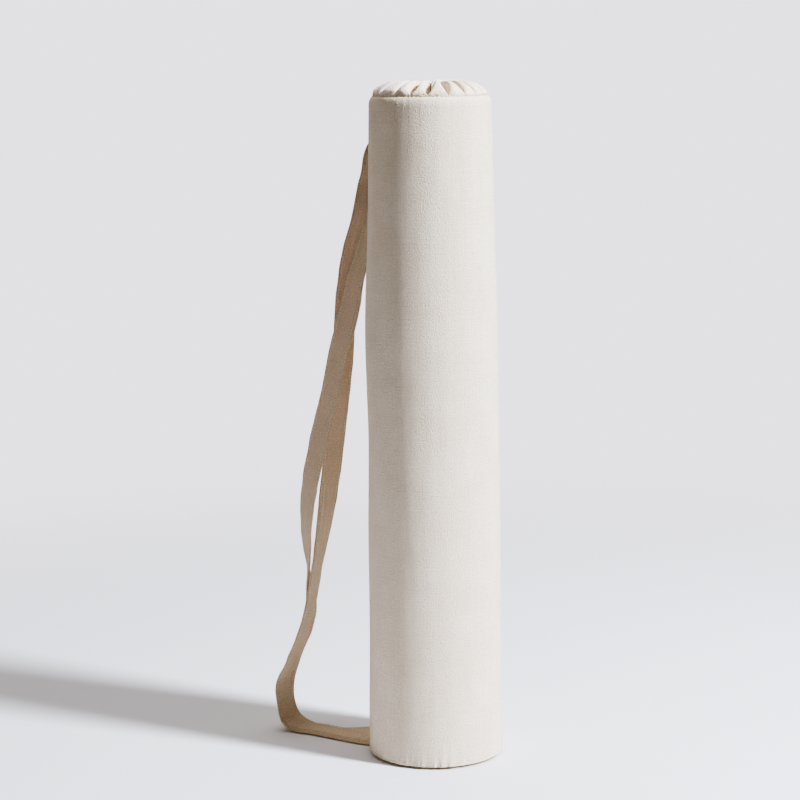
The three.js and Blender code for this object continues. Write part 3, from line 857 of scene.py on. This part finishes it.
def sew(name, tree, inputs, lines, sizes):
    """One mesh of stitches along lines, each a row of points and whether it closes on itself."""
    points, edges = [], []
    for row, closed in lines:
        first = len(points)
        points += [tuple(point) for point in row]
        edges += [(i, i + 1) for i in range(first, len(points) - 1)]
        if closed:
            edges.append((len(points) - 1, first))
    mesh = bpy.data.meshes.new(name + "_lines")
    mesh.from_pydata(points, edges, [])
    guide = bpy.data.objects.new(name, mesh)
    bpy.context.scene.collection.objects.link(guide)
    modifier = guide.modifiers.new("stitches", "NODES")
    modifier.node_group = tree
    for key, value in sizes.items():
        modifier[inputs[key]] = value
    evaluated = guide.evaluated_get(bpy.context.evaluated_depsgraph_get())
    stitches = bpy.data.meshes.new_from_object(evaluated)
    guide.modifiers.remove(modifier)
    guide.data = stitches
    stitches.name = name
    stitches.polygons.foreach_set("use_smooth", [True] * len(stitches.polygons))
    return guide


def tube_skin(z, bearings):
    """The tube's finished radius at one height, at each bearing."""
    step = 360 / TUBE_COLUMNS
    row = tube_radii([z], TUBE_COLUMNS)[0]
    smooth = np.interp(bearings, np.arange(TUBE_COLUMNS + 1) * step, np.append(row, row[0]))
    return [r + cloth_relief(b, z) + LAP_RISE * lap_profile(b) for r, b in zip(smooth, bearings)]


def tube_lines():
    """The lines of sewing on the tube: the base seam, the rim seam and both sides of the lap."""
    bearings = np.arange(TUBE_COLUMNS) * 360 / TUBE_COLUMNS
    proud = 0.1 * STITCH_THICKNESS
    foot_skin = tube_skin(BASE_STITCH, bearings)
    foot = [plan_point(b, r + proud, BASE_STITCH) for b, r in zip(bearings, foot_skin)]
    turn = math.radians(RIM_STITCH_TURN)
    rim = []
    for b, r in zip(bearings, tube_skin(LIP_FOOT, bearings)):
        reach = r - LIP_RADIUS + (LIP_RADIUS + proud) * math.cos(turn)
        rim.append(plan_point(b, reach, LIP_FOOT + (LIP_DROP + proud) * math.sin(turn)))
    lines = [(foot, True), (rim, True)]
    heights = np.linspace(TUBE_FOOT + 2 * MM, LIP_FOOT, 120)
    for side in (-1, 1):
        bearing = LAP_BEARING + side * math.degrees((LAP_WIDTH / 2 - 1.6 * MM) / BASE_RADIUS)
        lines.append(([plan_point(bearing, tube_skin(z, [bearing])[0] + proud, z) for z in heights], False))
    return lines


def strap_lines(frames, seed):
    """Both rows of edge stitching on both faces of a strap, and the rows across its two ends."""
    proud = 0.4 * STITCH_THICKNESS
    lines = []
    for side in (1, -1):
        for edge in (1, -1):
            x = edge * (STRAP_WIDTH / 2 - STITCH_INSET)
            lines.append(([
                place + across * x + through * (strap_skin(x, side, *shape, seed) + side * proud)
                for place, across, through, *shape in frames
            ], False))
        for index in (3, 7, -4, -8):
            place, across, through, *shape = frames[index]
            lines.append(([
                place + across * x + through * (strap_skin(x, side, *shape, seed) + side * proud)
                for x in np.linspace(-0.72, 0.72, 12) * STRAP_WIDTH / 2
            ], False))
    return lines


# Camera, light and floor

CAMERA_PLACE = (0.0, -2.068, 0.6573)
CAMERA_PITCH = 8.82
CAMERA_YAW = 0.844
CAMERA_ROLL = -0.7
CAMERA_LENS = 101.5


def make_camera():
    pitch, yaw, roll = (math.radians(value) for value in (CAMERA_PITCH, CAMERA_YAW, CAMERA_ROLL))
    ahead = Vector((-math.sin(yaw) * math.cos(pitch), math.cos(yaw) * math.cos(pitch), -math.sin(pitch)))
    right = Vector((math.cos(yaw), math.sin(yaw), 0))
    up = right.cross(ahead)
    side = right * math.cos(roll) + up * math.sin(roll)
    top = up * math.cos(roll) - right * math.sin(roll)
    data = bpy.data.cameras.new("camera")
    data.lens = CAMERA_LENS
    data.sensor_width = 36.0
    data.clip_start, data.clip_end = 0.05, 60.0
    camera = bpy.data.objects.new("camera", data)
    turned = Matrix((side, top, -ahead)).transposed().to_4x4()
    camera.matrix_world = Matrix.Translation(CAMERA_PLACE) @ turned
    bpy.context.scene.collection.objects.link(camera)
    bpy.context.scene.camera = camera


def make_lamp(name, place, aim, size, power, color):
    data = bpy.data.lights.new(name, "AREA")
    data.shape = "DISK"
    data.size = size
    data.energy = power
    data.color = color
    lamp = bpy.data.objects.new(name, data)
    lamp.location = place
    lamp.rotation_mode = "QUATERNION"
    lamp.rotation_quaternion = (Vector(aim) - Vector(place)).to_track_quat("-Z", "Y")
    bpy.context.scene.collection.objects.link(lamp)


def make_world(seen, ahead, behind):
    """A pale backdrop to look at, and a softer light all round: most from behind on the left, less from
    ahead, and little from under the floor."""
    world = bpy.data.worlds.new("studio")
    world.use_nodes = True
    nodes = Nodes(world.node_tree)
    direction = nodes.add("ShaderNodeTexCoord", None, None, "Generated")
    rightward, backward, upward = nodes.split(direction)
    away = backward * 0.8 - rightward * 0.6
    smooth = {"interpolation_type": "SMOOTHSTEP"}
    share = nodes.add("ShaderNodeMapRange", smooth, {0: away, 1: -0.7, 2: 0.7})
    level = nodes.add("ShaderNodeMapRange", smooth, {0: upward, 1: -0.3, 2: 0.1})
    cast = nodes.blend(level, (0.04, 0.04, 0.04, 1.0), nodes.blend(share, ahead, behind))
    looked_at = nodes.add("ShaderNodeLightPath", None, None, "Is Camera Ray")
    background = nodes.add("ShaderNodeBackground", None, {"Color": nodes.blend(looked_at, cast, seen)})
    nodes.add("ShaderNodeOutputWorld", None, {"Surface": background})
    bpy.context.scene.world = world


def make_floor(color, fade_start, fade_end):
    """A pale round floor that fades into the backdrop."""
    mesh = bpy.data.meshes.new("studio_floor")
    around = 96
    circle = [(fade_end * math.cos(2 * math.pi * i / around), fade_end * math.sin(2 * math.pi * i / around),
               -0.05 * MM) for i in range(around)]
    mesh.from_pydata(circle, [], [list(range(around))])
    material = bpy.data.materials.new("floor_paper")
    material.use_nodes = True
    nodes = Nodes(material.node_tree)
    place = nodes.add("ShaderNodeTexCoord", None, None, "Object")
    reach = nodes.add("ShaderNodeVectorMath", {"operation": "LENGTH"}, {0: place}, 1)
    gone = nodes.add("ShaderNodeMapRange", {"interpolation_type": "SMOOTHSTEP"},
                     {0: reach, 1: fade_start, 2: fade_end, 3: 0.0, 4: 1.0})
    paper = nodes.add("ShaderNodeBsdfPrincipled", None,
                      {"Base Color": color, "Roughness": 0.9, "Specular IOR Level": 0.1})
    clear = nodes.add("ShaderNodeBsdfTransparent")
    nodes.add("ShaderNodeOutputMaterial", None,
              {"Surface": nodes.add("ShaderNodeMixShader", None, {0: gone, 1: paper, 2: clear})})
    mesh.materials.append(material)
    floor = bpy.data.objects.new("studio_floor", mesh)
    bpy.context.scene.collection.objects.link(floor)


bpy.context.scene.view_settings.view_transform = "AgX"
bpy.context.scene.view_settings.look = "AgX - Very High Contrast"
make_camera()
make_floor(linear(229, 229, 234), 0.5, 1.5)
make_world(seen=(1.03, 1.01, 1.12, 1.0), ahead=(0.06, 0.053, 0.045, 1.0), behind=(0.46, 0.43, 0.405, 1.0))
make_lamp("key", (2.45, -1.28, 2.40), (0.0, 0.0, 0.3), 0.5, 206.0, (0.95, 1.0, 1.1))
make_lamp("overhead", (0.0, 0.5, 2.6), (0.0, 0.0, 0.0), 1.8, 16.0, (1.0, 1.0, 1.0))

body_cloth = woven_cloth("body_cloth", linear(240, 229, 211), linear(198, 177, 148), 0.95 * MM)
top_cloth = woven_cloth("top_cloth", linear(243, 232, 215), linear(200, 178, 148), 0.95 * MM)
base_cloth = woven_cloth("base_cloth", linear(226, 213, 192), linear(178, 157, 128), 0.95 * MM)
# The straps are of the body's cloth; their darker, warmer colours are painted shade, as they hang in the
# bag's shadow.
strap_cloth = woven_cloth("strap_cloth", linear(226, 209, 184), linear(166, 142, 110), 0.8 * MM, glow=0.3)
thread = sewing_thread("thread", linear(246, 240, 226), linear(206, 190, 165))

tube = make_tube(body_cloth)
base = make_base(base_cloth)
top, top_skin = make_top(top_cloth)
near_strap, near_frames = make_strap("carry_strap_near", NEAR_STRAP, NEAR_SEED, strap_cloth)
far_strap, far_frames = make_strap("carry_strap_far", FAR_STRAP, FAR_SEED, strap_cloth)

running_stitch, stitch_inputs = stitch_tree(thread)
tube_sewing = sew("tube_sewing", running_stitch, stitch_inputs, tube_lines(),
                  {"Seed": 4, "Pitch": TUBE_PITCH, "Thickness": EDGE_THREAD})
near_sewing = sew("near_strap_sewing", running_stitch, stitch_inputs, strap_lines(near_frames, NEAR_SEED),
                  {"Seed": 5, "Thickness": EDGE_THREAD})
far_sewing = sew("far_strap_sewing", running_stitch, stitch_inputs, strap_lines(far_frames, FAR_SEED),
                 {"Seed": 6, "Thickness": EDGE_THREAD})
top_sewing = sew("top_sewing", running_stitch, stitch_inputs, [(top_skin[HEM_STITCH_RING], True)],
                 {"Seed": 7})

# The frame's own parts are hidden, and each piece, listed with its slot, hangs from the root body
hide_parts("tube_body")
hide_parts("base_panel")
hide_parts("gathered_top")
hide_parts("strap_front")
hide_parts("strap_rear")
for piece, slot in (
    (tube, "body_cloth"),
    (tube_sewing, "body_cloth"),
    (base, "base_cloth"),
    (top, "top_cloth"),
    (top_sewing, "top_cloth"),
    (near_strap, "strap_cloth"),
    (near_sewing, "strap_cloth"),
    (far_strap, "strap_cloth"),
    (far_sewing, "strap_cloth"),
):
    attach(piece, "root")

near_cut = (STRAP_WIDTH, near_frames[-1][-1] + SEAM_ALLOWANCE)
far_cut = (STRAP_WIDTH, far_frames[-1][-1] + SEAM_ALLOWANCE)
